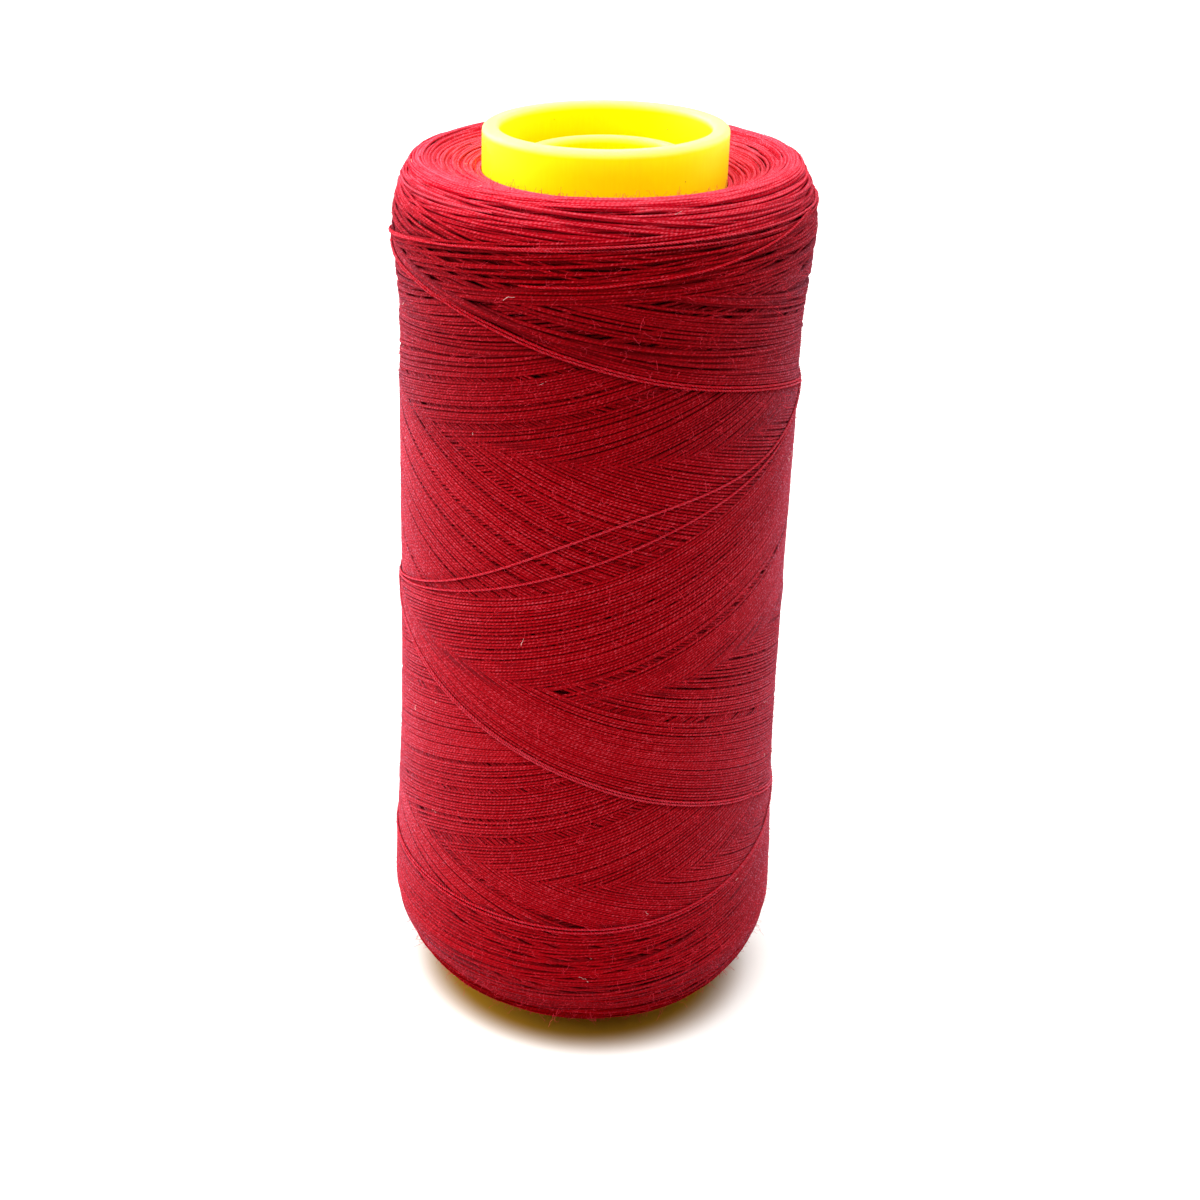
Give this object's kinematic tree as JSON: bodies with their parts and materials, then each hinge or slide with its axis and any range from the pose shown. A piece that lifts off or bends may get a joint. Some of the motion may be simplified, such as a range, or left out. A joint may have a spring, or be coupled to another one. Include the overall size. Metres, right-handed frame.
{
  "type": "spool of thread",
  "caption": "Straight spool of sewing thread: a plastic core tube with a spindle sleeve in its bore, wound with thread in crossing bands.",
  "frame": {"origin": "centre of the lower rim, on the surface that the spool stands on", "axes": "+Z along the spool's axis, upwards when it stands on its lower rim"},
  "size_m": [0.0588, 0.059, 0.135],
  "materials": {
    "core_tube": "satin bright yellow moulded plastic, slightly translucent",
    "spindle_sleeve": "satin bright yellow moulded plastic",
    "thread": "matt spun polyester thread, slightly fuzzy",
    "loose_thread": "matt spun polyester thread, slightly fuzzy"
  },
  "bodies": {
    "root": {"core_tube": "core_tube", "spindle_sleeve": "spindle_sleeve", "thread_package": "thread", "loose_turn_top": "loose_thread", "loose_turn_upper": "loose_thread", "loose_turn_lower": "loose_thread", "loose_turn_base": "loose_thread"}
  },
  "joints": []
}
